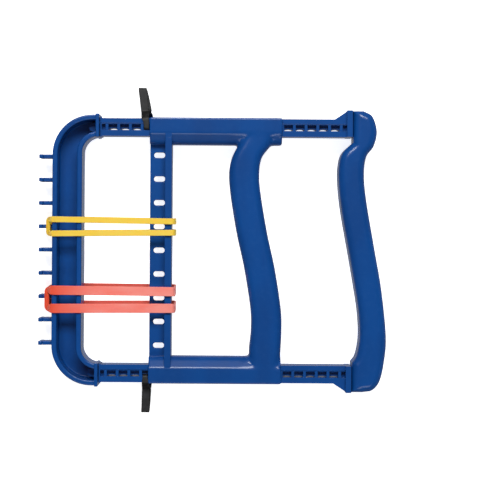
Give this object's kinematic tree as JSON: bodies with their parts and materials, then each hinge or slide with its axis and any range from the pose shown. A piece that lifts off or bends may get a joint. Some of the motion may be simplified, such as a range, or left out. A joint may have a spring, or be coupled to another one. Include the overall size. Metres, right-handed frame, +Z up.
{
  "type": "hand grip strengthener",
  "caption": "Squeeze-type hand exerciser: a frame with ladder rails and a palm handle, a sliding finger grip, and rubber bands hooked on pegs to resist it.",
  "frame": {"origin": "middle of the grip's footprint, on the surface that it lies on", "axes": "+X from the band pegs to the palm handle, along the slide; +Y along the handles towards their forward curve; +Z up out of the front face"},
  "size_m": [0.1892, 0.177, 0.022],
  "materials": {
    "blue_plastic": "moulded, semi-gloss",
    "yellow_rubber": "matt, cut from sheet",
    "salmon_rubber": "matt, cut from sheet",
    "black_rubber": "matt",
    "screw_steel": "zinc plated"
  },
  "bodies": {
    "frame": {"band_bow": "blue_plastic", "upper_rail": "blue_plastic", "lower_rail": "blue_plastic", "palm_handle_front": "blue_plastic", "palm_handle_back": "blue_plastic", "palm_handle_screw_1": "screw_steel", "palm_handle_screw_2": "screw_steel", "palm_handle_screw_3": "screw_steel", "palm_handle_screw_4": "screw_steel", "upper_stop_loop": "black_rubber", "lower_stop_loop": "black_rubber", "yellow_band": "yellow_rubber", "red_band": "salmon_rubber"},
    "slider": {"slider_frame": "blue_plastic", "finger_handle_back": "blue_plastic", "finger_handle_screw_1": "screw_steel", "finger_handle_screw_2": "screw_steel", "finger_handle_screw_3": "screw_steel"}
  },
  "joints": [
    {"name": "grip_slide", "type": "slide", "parent": "frame", "child": "slider", "axis": [1, 0, 0], "range_m": [0, 0.0345], "stiffness_N_per_m": 640, "springref_m": -0.0125, "deforming": ["yellow_band", "red_band"]}
  ]
}
